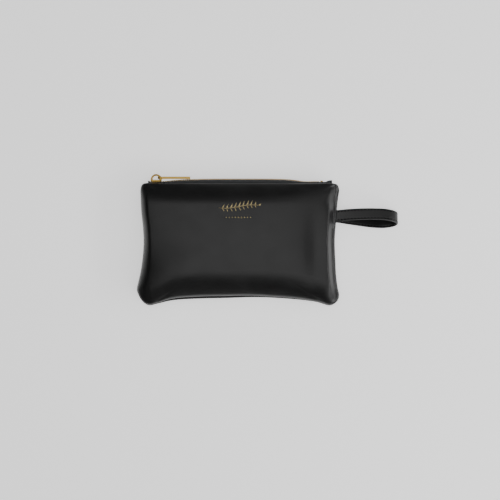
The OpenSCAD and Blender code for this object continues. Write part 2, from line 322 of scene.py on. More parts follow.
def add(tree, kind, settings=None, **inputs):
    """A node with some of its settings and inputs given. An input may be another node's output."""
    node = tree.nodes.new(kind)
    for key, value in (settings or {}).items():
        setattr(node, key, value)
    for key, value in inputs.items():
        socket = node.inputs[key.replace("_", " ")]
        if isinstance(value, bpy.types.NodeSocket):
            tree.links.new(value, socket)
        else:
            socket.default_value = value
    return node


def object_place(tree, stretch=(1, 1, 1)):
    """Coordinates in metres in the part's frame, stretched along its axes."""
    place = add(tree, "ShaderNodeTexCoord").outputs["Object"]
    return add(tree, "ShaderNodeMapping", Vector=place, Scale=stretch).outputs["Vector"]


def spread(tree, value, low, high):
    """Maps a texture's middle values onto the range from low to high."""
    node = add(tree, "ShaderNodeMapRange", Value=value, From_Min=0.3, From_Max=0.7, To_Min=low, To_Max=high)
    return node.outputs["Result"]


def colours(tree, value, stops):
    """A colour ramp with stops of (place, (red, green, blue))."""
    ramp = add(tree, "ShaderNodeValToRGB", Fac=value)
    while len(ramp.color_ramp.elements) < len(stops):
        ramp.color_ramp.elements.new(0.5)
    for element, (place, colour) in zip(ramp.color_ramp.elements, stops):
        element.position = place
        element.color = (*colour, 1)
    return ramp.outputs["Color"]


def bump(tree, height, depth, strength, below=None):
    """A bump of the given depth in metres, over another bump if there is one below it."""
    node = add(tree, "ShaderNodeBump", Height=height, Distance=depth, Strength=strength)
    if below is not None:
        tree.links.new(below, node.inputs["Normal"])
    return node.outputs["Normal"]


def leather_look(name, dark, light, rough):
    """Smooth black leather: a fine pebbled grain, faint mottling, and a lighter colour where the wear
    attribute is set: edge wear, and a painted highlight along the ridge.
    """
    look, tree, shader = new_look(name, {"Roughness": rough, "Specular IOR Level": 0.5, "IOR": 1.5})
    place = object_place(tree)
    mottle = add(tree, "ShaderNodeTexNoise", Vector=place, Scale=55, Detail=4).outputs["Fac"]
    # The wear attribute lightens the colour: edge wear, and a painted highlight along the front panel's
    # ridge.
    wear_and_highlight_mask = add(tree, "ShaderNodeAttribute", {"attribute_name": "wear_and_highlight"}).outputs["Fac"]
    patchy = add(tree, "ShaderNodeTexNoise", Vector=place, Scale=260, Detail=3).outputs["Fac"]
    wear_and_highlight = add(tree, "ShaderNodeMath", {"operation": "MULTIPLY"})
    tree.links.new(wear_and_highlight_mask, wear_and_highlight.inputs[0])
    tree.links.new(spread(tree, patchy, 0.3, 1.0), wear_and_highlight.inputs[1])
    base = colours(tree, spread(tree, mottle, 0, 1), [(0, dark), (1, light)])
    worn_and_lit = add(tree, "ShaderNodeMix", {"data_type": "RGBA"})
    tree.links.new(wear_and_highlight.outputs[0], worn_and_lit.inputs["Factor"])
    tree.links.new(base, worn_and_lit.inputs[6])
    worn_and_lit.inputs[7].default_value = (*[3 * c for c in light], 1)
    tree.links.new(worn_and_lit.outputs[2], shader.inputs["Base Color"])
    tree.links.new(spread(tree, mottle, rough - 0.03, rough + 0.04), shader.inputs["Roughness"])
    cells = {"feature": "SMOOTH_F1"}
    pebbles = add(tree, "ShaderNodeTexVoronoi", cells, Vector=place, Scale=1150, Smoothness=0.7)
    pores = add(tree, "ShaderNodeTexNoise", Vector=place, Scale=2600, Detail=2).outputs["Fac"]
    grain = bump(tree, pebbles.outputs["Distance"], 0.00006, 0.22)
    grain = bump(tree, pores, 0.00003, 0.18, grain)
    tree.links.new(grain, shader.inputs["Normal"])
    return look


def woven_look(name, dark, light, threads, depth, rough, sheen):
    """Cloth with two crossed sets of threads: threads of them to a metre, and depth in metres."""
    look, tree, shader = new_look(name, {"Roughness": rough, "Sheen Weight": sheen, "Sheen Roughness": 0.5})
    place = object_place(tree)
    waves = []
    for turn in (math.radians(45), math.radians(-45)):
        turned = add(tree, "ShaderNodeMapping", Vector=place, Rotation=(0, 0, turn)).outputs["Vector"]
        wave = add(tree, "ShaderNodeTexWave", Vector=turned, Scale=threads / 6.3, Distortion=0.6, Detail=1)
        wave.inputs["Detail Scale"].default_value = 2
        waves.append(wave.outputs["Fac"])
    weave = add(tree, "ShaderNodeMath", {"operation": "MAXIMUM"})
    tree.links.new(waves[0], weave.inputs[0])
    tree.links.new(waves[1], weave.inputs[1])
    tree.links.new(colours(tree, weave.outputs[0], [(0.2, dark), (1, light)]), shader.inputs["Base Color"])
    tree.links.new(bump(tree, weave.outputs[0], depth, 0.6), shader.inputs["Normal"])
    return look


def thread_look():
    """Twisted black thread."""
    dark, light = (0.0008, 0.0008, 0.0009), (0.0028, 0.0028, 0.003)
    look, tree, shader = new_look("thread_look", {"Roughness": 0.85, "Specular IOR Level": 0.15})
    place = object_place(tree)
    turn = (0, 0, math.radians(30))
    turned = add(tree, "ShaderNodeMapping", Vector=place, Rotation=turn).outputs["Vector"]
    twist = add(tree, "ShaderNodeTexWave", Vector=turned, Scale=480, Distortion=0.4).outputs["Fac"]
    tree.links.new(colours(tree, twist, [(0.1, dark), (0.9, light)]), shader.inputs["Base Color"])
    tree.links.new(bump(tree, twist, 0.00008, 0.7), shader.inputs["Normal"])
    return look


def metal_look(name, colour, rough, scratches):
    """Plated metal with a slightly uneven polish and fine scratches."""
    look, tree, shader = new_look(name, {"Metallic": 1})
    cloud = add(tree, "ShaderNodeTexNoise", Vector=object_place(tree), Scale=420, Detail=4).outputs["Fac"]
    long_way = object_place(tree, (0.08, 1, 1))
    lines = add(tree, "ShaderNodeTexNoise", Vector=long_way, Scale=5200, Detail=2).outputs["Fac"]
    darker = tuple(0.86 * c for c in colour)
    base = colours(tree, spread(tree, cloud, 0, 1), [(0, darker), (1, colour)])
    tree.links.new(base, shader.inputs["Base Color"])
    tree.links.new(spread(tree, cloud, rough - 0.05, rough + 0.08), shader.inputs["Roughness"])
    tree.links.new(bump(tree, lines, 0.00001, scratches), shader.inputs["Normal"])
    return look


BLACK, CHARCOAL = (0.0030, 0.0030, 0.0031), (0.0046, 0.0046, 0.0047)
LINING_DARK, LINING_LIGHT = (0.012, 0.012, 0.013), (0.03, 0.03, 0.032)
TAPE_DARK, TAPE_LIGHT = (0.012, 0.013, 0.014), (0.038, 0.04, 0.043)
leather = leather_look("leather_look", BLACK, CHARCOAL, 0.39)
strap_leather = leather_look("strap_leather_look", BLACK, CHARCOAL, 0.38)
lining_cloth = woven_look("lining_look", LINING_DARK, LINING_LIGHT, 2600, 0.00006, 0.55, 0.15)
tape_cloth = woven_look("tape_look", TAPE_DARK, TAPE_LIGHT, 1700, 0.00016, 0.7, 0.3)
thread = thread_look()
gold = metal_look("gold_look", (0.42, 0.27, 0.065), 0.22, 0.15)
foil = metal_look("foil_look", (0.62, 0.50, 0.25), 0.36, 0.3)

# ================= the two halves of the pouch =================

# The stuffed edge inside the right seam: where its ridge runs, how strongly it stands up, and how bright its
# painted highlight is.
RIDGE_Y = [-66, -53, -48, -35, -21, -10, 2, 13, 21, 27, 36, 43, 50, 58]
RIDGE_X = [99, 96.6, 94, 92, 90.8, 89.9, 89.9, 90.8, 93.4, 95.4, 96, 95.2, 95.2, 94.6]
STRENGTH_Y = [-66, -52, -40, -20, 10, 22, 32, 40, 50, 59]
STRENGTH = [0.2, 0.8, 1.3, 1.5, 1.4, 1.0, 0.5, 0.9, 1.2, 0.8]
RIDGE_HEIGHT = 0.3
RIDGE_W = 2.8
# Hollows in the front panel: (x, y), (reach along x, reach along y) and depth.
VALLEY = (76, -6), (8.5, 30), 1.3
DENT = (91.5, 41), (3.6, 4.6), 1.5
# How each side rises: (share of the height gained near the edge, reach of that, reach of the rest).
LEFT_CLIMB = 0.5, 8, 92
LOWER_LEFT_CLIMB = 0.33, 10, 52
BOTTOM_CLIMB = 0.68, 26, 56
MOUTH_CLIMB = 0.62, 22, 57
RIGHT_FAR_CLIMB = 0, 1, 70
# The right side has a narrow ledge, then a straight slope with a soft bend at its top.
RIGHT_LEDGE = 3
RIGHT_SLOPE = 5
RIGHT_BEND = 0.09
RIGHT_SHARE = 0.6           # the slope's share of the height
BACK_STEEP = 1.2
BACK_BEND = 0.03
WEAR_AND_HIGHLIGHT = 0.25                 # the greatest lightening: edge wear, and a painted highlight on the ridge
PANEL_SHARES = 1 - np.linspace(1, 0, 72)[1:] ** 1.7     # from the middle to the edge
INNER_SHARES = [0.985, 0.96, 0.92, 0.86, 0.78, 0.68, 0.56, 0.42, 0.27, 0.12]


def on_ridge(x, y, width):
    """How close a point is to the ridge's line, times how strongly the ridge stands up there."""
    return follow(y, STRENGTH_Y, STRENGTH) * bell((x - follow(y, RIDGE_Y, RIDGE_X)) / width)


def hollow(x, y, place, reach, depth):
    """A smooth hollow."""
    return -depth * bell((x - place[0]) / reach[0]) * bell((y - place[1]) / reach[1])


def front_relief(x, y):
    """Height of the front panel's own folds and hollows over its plain dome."""
    ridge = RIDGE_HEIGHT * on_ridge(x, y, RIDGE_W)
    slack = 0.55 * np.sin(x / 19 + 0.6) * np.sin(y / 15 + x / 60) * bell(x / 80) * bell(y / 48)
    along = (x - 92) * 0.6 - (y + 41) * 0.8
    puckers = 0.14 * np.sin(along * 1.9) * bell((x - 93) / 4.5) * bell((y + 40) / 10)
    return ridge + hollow(x, y, *VALLEY) + hollow(x, y, *DENT) + slack + puckers


def back_relief(x, y):
    """Shallow creases round the flat that the back panel lies on. None of them goes below it."""
    creases = 0.35 * (1 + np.sin(x / 9 + y / 21)) * (1 + np.sin(y / 11 - x / 31)) / 2
    return -creases * smooth((np.hypot(x / 97, y / 60) - 0.72) / 0.2)


def walls(edge):
    """The left, right and bottom stretches of a panel's edge. They carry on straight past their ends."""
    x, y = edge.T
    upright = (y > EAR_Y) & (y < MOUTH_Y - 6)
    left, right = edge[upright & (x < 0)], edge[upright & (x > 0)]
    bottom = edge[(y < EAR_Y) & (np.abs(x) < EAR_X)]
    return left[np.argsort(left[:, 1])], right[np.argsort(right[:, 1])], bottom[np.argsort(bottom[:, 0])]


def at_least(value, least, bend):
    """The greater of the two, with a soft bend between them."""
    return least + bend * np.log1p(np.exp((value - least) / bend))


def climb(way_in, steep, reach, far_reach):
    """0 at a side, 1 far inside it: a share of the height is gained within reach, the rest more gently."""
    near, far = (1 - np.square(1 - np.clip(way_in / length, 0, 1)) for length in (reach, far_reach))
    return steep * near + (1 - steep) * far


def plateau(edge, x, y, top):
    """How much of its full height a panel has: 1 over most of it, and 0 along each of its sides."""
    left, right, bottom = walls(edge)
    left_in = x - np.interp(y, left[:, 1], left[:, 0])
    right_in = np.interp(y, right[:, 1], right[:, 0]) - x
    bottom_in = y - np.interp(x, bottom[:, 0], bottom[:, 1])
    lower = smooth((6 - y) / 36)            # the lower left side rises more gently
    from_left = climb(left_in, *(a + (b - a) * lower for a, b in zip(LEFT_CLIMB, LOWER_LEFT_CLIMB)))
    slope = 1 - at_least(1 - np.maximum(right_in - RIGHT_LEDGE, 0) / RIGHT_SLOPE, 0, RIGHT_BEND)
    from_right = RIGHT_SHARE * slope + (1 - RIGHT_SHARE) * climb(right_in, *RIGHT_FAR_CLIMB)
    return from_left * from_right * climb(bottom_in, *BOTTOM_CLIMB) * climb(top - y, *MOUTH_CLIMB)


def front_rise(share):
    """The front panel rises just as its plateau does."""
    return share


def back_rise(share):
    """Rises steeply and levels out, with a soft bend into the flat that the pouch lies on."""
    return 1 - at_least(1 - BACK_STEEP * share, 0, BACK_BEND) * (1 - BACK_BEND * math.log(2))


def ring(edge, r):
    """The ring at share r of the way out. It is oval near the middle, and is the edge at r = 1."""
    reach = np.linalg.norm(edge, axis=1)
    near = reach / (np.abs(edge / OVAL) ** OVAL_POWER).sum(1) ** (1 / OVAL_POWER)
    return edge * (r * (near + (reach - near) * r ** 3) / reach)[:, None]


def dome_rows(edge, shares, rise, crown, level, roll, top, relief):
    """Rings of points over a panel, with z above the seam.

    level is the height of the bead along the edge, and roll the radius by which it turns down.
    Where the bead is higher or lower than usual, that dies away within BEAD_REACH.
    """
    rows = []
    for r in shares:
        flat = ring(edge, r)
        x, y = flat.T
        way_in = ((flat - edge) * inward).sum(1)
        foot = np.median(level) + (level - np.median(level)) * bell(way_in / BEAD_REACH)
        up = foot + (crown - foot) * rise(plateau(edge, x, y, top))
        short = np.clip(roll - way_in, 0, roll)
        up = up - roll + np.sqrt(roll ** 2 - short ** 2)
        fade = 1 - r ** 30                      # the relief dies away just before the edge
        rows.append(np.column_stack([flat, up + relief(x, y) * fade]))
    return rows


# A panel's turned edge, from its widest line to inside the seam: (way in, share of that line's height).
SEAM_TURN = [(0.08, 0.61), (0.3, 0.31), (0.7, 0.11), (1.3, 0.04), (2.4, 0.02)]
# The underside of the mouth's folded lip, from its widest line inwards: (way in, way down).
LIP_TURN = [(0.05, 0.2), (0.17, 0.4), (0.35, 0.54), (0.6, 0.6), (1.0, 0.61)]
LIP_ROLL = 1.3
SEWN_ROLL = 2.5
NO_ROLL = 1e-6
BEAD = 3.9                  # height of the bead along the seams
BOTTOM_BEAD = 0.6           # how much higher it is along the bottom
BEAD_REACH = 7


def edge_rows(edge, widest, hidden_inset):
    """Rings that carry a panel from its widest line round its seam turn, or under its lip.

    widest is that line's height, and hidden_inset how much further in the turn goes.
    """
    rows = []
    total = SEAM_TURN[-1][0]
    for (seam_in, share), (lip_in, lip_down) in zip(SEAM_TURN, LIP_TURN):
        seam_in = seam_in + hidden_inset * math.sqrt(seam_in / total)
        way_in = seam_in * (1 - mouth) + lip_in * mouth
        up = (lump + (widest - lump) * share) * (1 - mouth) + (widest - lip_down) * mouth
        rows.append(np.column_stack([edge + inward * way_in[:, None], up]))
    return rows


def inset_edge(edge, depth, top):
    """The edge moved inwards by depth, and cut off level at y = top."""
    moved = edge + inward * depth
    return np.column_stack([moved[:, 0], np.minimum(moved[:, 1], top)])


def bead_level(edge, mouth_level):
    """Height of the bead along a panel's edge: higher at the mouth, over the strap and at the bottom."""
    x, y = edge.T
    sewn = BEAD + BOTTOM_BEAD * smooth((-44 - y) / 8) * smooth((86 - np.abs(x)) / 12)
    return (0.6 * lump + sewn) * (1 - mouth) + mouth_level * mouth


def panel(name, edge, rise, crown, relief, side, hidden_inset):
    """A leather shell with a beaded edge: side is 1 for the front and -1 for the back."""
    level = bead_level(edge, MOUTH_HALF)
    roll = SEWN_ROLL * (1 - mouth) + LIP_ROLL * mouth
    outer = dome_rows(edge, PANEL_SHARES, rise, crown, level, roll, MOUTH_Y, relief)
    turn = edge_rows(edge, level - roll, hidden_inset)
    inside = inset_edge(edge, LEATHER_T, MOUTH_Y - LEATHER_T)
    inner_level = np.maximum(level - LEATHER_T, lump + 0.1)
    inner_crown = crown - LEATHER_T
    inner = dome_rows(inside, INNER_SHARES, rise, inner_crown, inner_level, NO_ROLL, MOUTH_Y, relief)
    rows = np.array(outer + turn + inner)
    rows[:, :, 2] = SEAM_Z + side * rows[:, :, 2]
    made = piece(name, [pinched(rows)], leather)
    shares = np.concatenate([PANEL_SHARES, np.ones(len(turn)), np.zeros(len(inner))])
    add_wear_and_highlight(made, rows, shares)
    return made


def add_wear_and_highlight(made, rows, shares):
    """Marks where a panel is lightened: rubbing on its turned edge and its mouth's lip, and a painted
    highlight along its ridge.
    """
    shares = shares[:, None]
    edge_wear = smooth((shares - 0.975) / 0.025) * WEAR_AND_HIGHLIGHT
    # Painted highlight: the ridge is lightened along the line where the light catches it.
    ridge_highlight = WEAR_AND_HIGHLIGHT * on_ridge(rows[:, :, 0], rows[:, :, 1], 1.8)
    wear_and_highlight = np.clip(edge_wear + ridge_highlight * (shares > 0), 0, 1).ravel()
    attribute = made.data.attributes.new("wear_and_highlight", "FLOAT", "POINT")
    pinch_points = [0, 0]
    attribute.data.foreach_set("value", np.append(wear_and_highlight, pinch_points).astype(np.float32))


LINING_IN = 2.2             # from the leather's outline to the lining, sideways
LINING_UNDER = 1.8          # and from the leather's crown down to it
LINING_T = 0.4
LINING_MOUTH = 3.0          # height of the lining's mouth edge above the seam


def lining(name, side, rise, crown):
    """The cloth lining, just inside the leather, with its mouth edge sewn below the leather's."""
    top = MOUTH_Y - 2.5
    sewn_level = np.maximum(bead_level(outline, LINING_MOUTH) - LINING_IN, lump + 0.3)
    level = sewn_level * (1 - mouth) + LINING_MOUTH * mouth
    shares = np.append(PANEL_SHARES[2:-1:5], 1)

    def folds(x, y):
        """The leather's hollows, with fine ripples near the mouth."""
        ripples = 0.2 * np.sin(x / 3.1 + np.sin(y / 9)) * smooth((y - 20) / 40) - 0.3
        return ripples + (np.minimum(front_relief(x, y), 0) if side > 0 else back_relief(x, y))

    def skin(way_in, shares, crown, level):
        """One face of the cloth."""
        return dome_rows(inset_edge(outline, way_in, top), shares, rise, crown, level, NO_ROLL, top, folds)

    outer = skin(LINING_IN, shares, crown - LINING_UNDER, level)
    inner_crown = crown - LINING_UNDER - LINING_T
    inner = skin(LINING_IN + LINING_T, shares[::-1], inner_crown, level - LINING_T * 0.6)
    rows = np.array(outer + inner)
    rows[:, :, 2] = SEAM_Z + side * np.maximum(rows[:, :, 2], 0.1)
    return piece(name, [pinched(rows)], lining_cloth)


BACK_CROWN = SEAM_Z - 0.05      # the back panel's flat is just clear of the floor
front_edge = outline + inward * seam_inset[:, None]
front = panel("front_leather", front_edge, front_rise, CROWN, front_relief, 1, np.zeros(STATIONS))
back = panel("back_leather", outline, back_rise, BACK_CROWN, back_relief, -1, seam_inset)
front_lining = lining("front_lining_cloth", 1, front_rise, CROWN)
back_lining = lining("back_lining_cloth", -1, back_rise, BACK_CROWN)
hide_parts("front_panel")
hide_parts("back_panel", "strap_sewn_end")
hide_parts("front_lining")
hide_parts("back_lining")

# ================= the zip =================

TOOTH_PITCH = 2.2
TOOTH_W = 1.0
TOOTH_COUNT = round((teeth_high[0] - teeth_low[0] - TOOTH_W) / TOOTH_PITCH) + 1
WEDGE_LOW = slider_low[0] + SLIDER_TRAVEL       # the slider's wedge at the end of its travel
WEDGE_HIGH = WEDGE_LOW + 3.1
# The flexible zip bows out of its straight line, but not where the slider stops.
CROWN_X = [-95, -88, -76, -66, -50, -30, -8, 12, 34, 50, 60, 67, 76, 84, 96]
CROWN_HEIGHT = [0, 0, 0.1, 0.7, 1.6, 2.1, 2.2, 2.2, 2.1, 1.6, 0.6, 0, 0, 0, 0.1]


def zip_crown(x):
    """How far the zip bows out at a place along it."""
    return follow(x, CROWN_X, CROWN_HEIGHT)


def parted(x):
    """1 for the teeth that stand beside the slider's wedge at the end of its travel, and 0 for others."""
    room = 3
    return smooth((x - WEDGE_LOW + room) / 2.2) * smooth((WEDGE_HIGH + room - x) / 2.2)


def tooth_height(x):
    """The share of its full height that a tooth has: less where the slider stops at either end."""
    lowest = 0.74
    return lowest + (1 - lowest) * smooth((x + 72) / 8) * smooth((66 - x) / 8)


def tape_end_lift(x):
    """The tape's two ends curl up past the pouch's corners."""
    return 1.3 * smooth((-86.8 - x) / 3) + 1.5 * smooth((x - 86.5) / 5)


def round_box(half_w, half_h, corner, points_each):
    """Points round a rectangle with rounded corners, anticlockwise from its lower right."""
    made = []
    for turn, (sx, sy) in enumerate([(1, -1), (1, 1), (-1, 1), (-1, -1)]):
        centre = np.array([sx * (half_w - corner), sy * (half_h - corner)])
        for step in range(points_each):
            angle = math.radians(90 * (turn - 1) + 90 * step / (points_each - 1))
            made.append(centre + corner * np.array([math.cos(angle), math.sin(angle)]))
    return np.array(made)


# The tape across its width: (distance from the zip's middle plane, height off the zip's line).
TAPE_SHAPE = [
    (0.95, 0), (1.8, 0.04), (2.6, -0.02), (3.2, -0.3), (3.6, -0.95), (3.78, -2.0), (3.95, -3.2), (4.1, -4.2),
]
TAPE_T = 0.55
TAPE_RINGS = 260


def tape(name, side):
    """One woven tape: a flat that carries the teeth, and a leg that is sewn behind the leather's lip."""
    shape = curve_through(TAPE_SHAPE, 4)
    slope = np.gradient(shape, axis=0)
    off = np.stack([-slope[:, 1], slope[:, 0]], 1) / np.linalg.norm(slope, axis=1)[:, None]
    loop = np.vstack([shape + off * TAPE_T / 2, (shape - off * TAPE_T / 2)[::-1]])
    free = smooth((loop[:, 1] + 3.2) / 2.4)     # the leg's foot stays where it is sewn
    rows = []
    for x in np.linspace(tape_low[0], tape_high[0], TAPE_RINGS):
        bow = zip_crown(x) + tape_end_lift(x)
        ripple = 0.1 * math.sin(x / 2.3) * smooth((0.2 - loop[:, 1]) / 1.5) * free
        close = 1.3 * smooth((-86.5 - x) / 3) + 1.2 * smooth((x - 88) / 5)
        away = loop[:, 0] - close * smooth((loop[:, 0] - 1.2) / 3) + ripple
        y = ZIP_Y + loop[:, 1] + bow * free
        rows.append(np.column_stack([np.full(len(loop), x), y, SEAM_Z + side * away]))
    return piece(name, [tube(rows)], tape_cloth, sharp=50)


# A tooth from its root, in the tape, to its rounded nose, as
# (distance from the middle plane, half width, half height).
TOOTH_SHAPE = [
    (2.55, 0.30, 0.8), (2.45, 0.42, 1.1), (2.2, 0.5, 1.35), (1.5, 0.5, 1.45), (0.75, 0.5, 1.48),
    (0.45, 0.44, 1.4), (0.1, 0.38, 1.25), (-0.25, 0.36, 1.05), (-0.42, 0.28, 0.8), (-0.5, 0.15, 0.5),
]


def tooth(x, side):
    """One zip tooth, clamped over the tape's edge."""
    y = ZIP_Y + zip_crown(x)
    tilt = (zip_crown(x + 1) - zip_crown(x - 1)) / 2
    rows = []
    for away, half_w, full_half_h in TOOTH_SHAPE:
        half_h = full_half_h * tooth_height(x)
        across, up = round_box(half_w, half_h, min(half_w, half_h) * 0.55, 3).T
        z = SEAM_Z + side * (away + parted(x) * (1.03 - 0.07 * away))
        rows.append(np.column_stack([x + across, y + up + tilt * across, np.full(len(up), z)]))
    return tube(rows)


def teeth(name, node, side):
    """One row of teeth, in the places of a CAD row's teeth."""
    first = box_mm(node)[0][0] + TOOTH_W / 2
    parts = [tooth(first + i * TOOTH_PITCH, side) for i in range(TOOTH_COUNT)]
    made = piece(name, parts, gold, sharp=45)
    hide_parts(node)
    return made


front_tape = tape("front_tape_cloth", 1)
back_tape = tape("back_tape_cloth", -1)
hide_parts("front_zip_tape")
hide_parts("back_zip_tape")
front_teeth = teeth("front_teeth_row", "front_zip_teeth", 1)
back_teeth = teeth("back_teeth_row", "back_zip_teeth", -1)


def round_edges(made, radius_mm):
    """Rounds the edges of a piece whose corners meet in a CAD mesh's own points."""
    weld = made.modifiers.new("weld", "WELD")
    weld.merge_threshold = 1e-6
    edges = made.modifiers.new("edges", "BEVEL")
    edges.width = radius_mm * MM
    edges.segments = 3
    edges.limit_method = "ANGLE"
    edges.angle_limit = math.radians(28)
    edges.harden_normals = True


def soften(node, radius_mm):
    """A metal CAD node keeps its shape, and gets rounded edges and its material."""
    made = frame["nodes"][node]
    round_edges(made, radius_mm)
    made.data.materials.clear()
    made.data.materials.append(gold)
    made.data.shade_smooth()


def stitch(centre, along, across, up):
    """One stitch: a fat thread that dips into the leather at both ends."""
    half_len, half_w, half_h = 1.15, 0.42, 0.24
    turns = np.radians(np.arange(0, 360, 45))
    rows = []
    for share in np.linspace(-1, 1, 7):
        size = math.sqrt(max(0.02, 1 - abs(share) ** 3.2))
        middle = centre + along * half_len * share + up * (0.1 - 0.22 * share * share)
        sideways = np.outer(np.cos(turns), across) * half_w * size
        upwards = np.outer(np.sin(turns), up) * half_h * size
        rows.append(middle + sideways + upwards)
    return tube(rows)


def copy_of(node, name, thicker, radius_mm):
    """A metal piece in a CAD node's shape, thickened across the zip about its own middle."""
    source = frame["nodes"][node].data
    points = np.array([v.co for v in source.vertices]) / MM
    middle = (points[:, 1].min() + points[:, 1].max()) / 2
    points[:, 1] = middle + (points[:, 1] - middle) * thicker
    made = piece(name, [(points, [list(face.vertices) for face in source.polygons])], gold)
    round_edges(made, radius_mm)
    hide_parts(node)
    return made


SMALL_EDGE = 0.16           # radius of the zip's small rounded edges
TAB_EDGE = 0.3
TAB_THICKER = 1.45          # the pull tab's thickness as a multiple of the CAD tab's
for node in ("slider_body", "bottom_stop", "back_top_stop"):
    soften(node, SMALL_EDGE)
front_stop = copy_of("front_top_stop", "front_stop_metal", 1, SMALL_EDGE)
pull = copy_of("pull_tab", "pull_tab_metal", TAB_THICKER, TAB_EDGE)

ZIP_STITCH_PITCH = 4
ZIP_STITCH_AWAY = 4.55      # from the middle plane to the stitches on a tape's leg


def zip_thread(name, side):
    """The seam that holds a tape: short stitches against its leg, under the leather's lip."""
    low, high = box_mm("front_zip_stitching")
    along, across, up = np.diag([1, 1, side])
    parts = []
    for x in np.arange(low[0] + 1, high[0], ZIP_STITCH_PITCH):
        centre = np.array([x, low[1] - 0.3, SEAM_Z + side * ZIP_STITCH_AWAY])
        parts.append(stitch(centre, along, across, up))
    return piece(name, parts, thread)


front_thread = zip_thread("front_zip_thread", 1)
back_thread = zip_thread("back_zip_thread", -1)
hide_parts("front_zip_stitching")
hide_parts("back_zip_stitching")

ARCH_R = 4.45               # radius of the arch's middle line
ARCH_HALF_W = 1.25
ARCH_HEAD = 5.2             # from the arch's centre to the top of the CAD arch


def bridge():
    """The arch that holds the pull tab: a bent bar, thickest at the leg on the tab's side."""
    middle = np.array([SLIDER_X, bridge_high[1] - ARCH_HEAD, SEAM_Z])
    foot = middle[1] - bridge_low[1]
    rows = []
    for share in np.linspace(0, 1, 41):
        turn = math.pi * np.clip(share * 1.3 - 0.15, 0, 1)
        drop = foot * (smooth((0.12 - share) / 0.12) + smooth((share - 0.88) / 0.12))
        thick = 0.95 + 0.45 * smooth((0.4 - share) / 0.3) + 0.1 * smooth((share - 0.7) / 0.3)
        out = np.array([math.cos(turn), math.sin(turn), 0])
        centre = middle + ARCH_R * out - [0, drop, 0]
        section = round_box(thick, ARCH_HALF_W, min(thick, ARCH_HALF_W) * 0.75, 5)
        rows.append(centre + section[:, :1] * out + section[:, 1:] * np.array([0, 0, 1]))
    return piece("slider_arch", [tube(rows)], gold, sharp=50)


arch = bridge()
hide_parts("slider_bridge")

# ================= the wrist strap =================

# The loop's centreline: (x, y, height off the loop's axis, roll in degrees).
STRAP_ROUTE = [
    (-3, 0.6, 1.0, 0), (0, 0.6, 1.05, 0), (11, 1.6, 3.4, 7), (24, 2.3, 5.6, 11), (37, 2.4, 7.2, 13),
    (48, 1.9, 7.4, 14), (57, 0.1, 4.8, 14), (60.2, -2.1, 0, 14), (57, -4.4, -4.8, 14),
    (48, -5.8, -7.4, 14), (37, -5.5, -7.2, 13), (24, -4, -5.6, 11), (11, -2.2, -3.4, 7),
    (0, -0.6, -1.05, 0), (-3, -0.6, -1.0, 0),
]
STRAP_DROOP = 6             # how far the loop's axis falls over the strap's reach
STRAP_REACH = 59.2
LAYER_T = 0.9
LAYER_GAP = 0.05            # half the gap between the two layers
LAYER_CORNER = 0.34
CHANNEL_DEPTH = 0.17        # depth of the pressed channel along a row of stitches
STITCH_ROW = STRAP_W / 2 - 1.6      # from the strap's middle to each row of stitches
STITCH_PITCH = 3.3
STITCH_SUNK = 0.12
STRAP_RINGS = 260

route = evenly(curve_through(STRAP_ROUTE, 16), STRAP_RINGS)
strap_roll = np.radians(route[:, 3])
strap_line = np.column_stack([
    STRAP_X + route[:, 0], STRAP_Y + route[:, 1],
    SEAM_Z - STRAP_DROOP * route[:, 0] / STRAP_REACH + route[:, 2]])
strap_along = distances(strap_line)
strap_wide = np.column_stack([np.zeros(STRAP_RINGS), np.cos(strap_roll), -np.sin(strap_roll)])
strap_out = np.cross(np.gradient(strap_line, axis=0), strap_wide)
strap_out /= np.linalg.norm(strap_out, axis=1)[:, None]


def layer_section(face):
    """Half of the strap's thickness: face is 1 for the outer layer and -1 for the inner one.

    Its open face has a pressed channel along each row of stitches.
    """
    box = round_box(STRAP_W / 2, LAYER_T / 2, LAYER_CORNER, 5)
    open_face = np.linspace(0.9, -0.9, 45) * STRAP_W / 2
    channels = LAYER_T / 2 - CHANNEL_DEPTH * bell((np.abs(open_face) - STITCH_ROW) / 0.5)
    right = box[:, 0] > 0
    loop = np.vstack([box[right], np.column_stack([open_face, channels]), box[~right]])
    return np.column_stack([loop[:, 0], face * (loop[:, 1] + LAYER_T / 2 + LAYER_GAP)])


def strap_layer(name, face):
    """One leather layer of the strap, swept along its route."""
    wide, up = (column[None, :, None] for column in layer_section(face).T)
    rows = strap_line[:, None] + wide * strap_wide[:, None] + up * strap_out[:, None]
    return piece(name, [tube(rows)], strap_leather, sharp=60)


def strap_stitches():
    """Both rows of stitches, on the outer layer's face and on the inner layer's."""
    parts = []
    for face in (1, -1):
        for side in (1, -1):
            for place in np.arange(4.2, strap_along[-1] - 3.2, STITCH_PITCH):
                at, wide, up = (
                    np.array([np.interp(place, strap_along, column) for column in source.T])
                    for source in (strap_line, strap_wide, strap_out))
                along = np.cross(wide, up)
                slant = along + 0.12 * side * wide
                centre = at + side * STITCH_ROW * wide + face * (LAYER_T + LAYER_GAP - STITCH_SUNK) * up
                parts.append(stitch(centre, slant, wide, face * up))
    return piece("strap_thread", parts, thread)


outer_layer = strap_layer("strap_outer_leather", 1)
inner_layer = strap_layer("strap_inner_leather", -1)
strap_thread = strap_stitches()
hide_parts("strap_outer_layer")
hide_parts("strap_inner_layer")
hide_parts("strap_stitching")

# ================= the foil motif: a leafy sprig over a row of dots =================

FOIL_T = 0.09
front_points = [v.co / MM for v in front.data.vertices]
front_surface = BVHTree.FromPolygons(front_points, [p.vertices for p in front.data.polygons])


def on_front(x, y, off):
    """The point off millimetres above the front panel at x, y."""
    point, normal, _, _ = front_surface.ray_cast(Vector((x, y, 100)), Vector((0, 0, -1)))
    if normal.z < 0:
        normal = -normal
    return point + normal * off


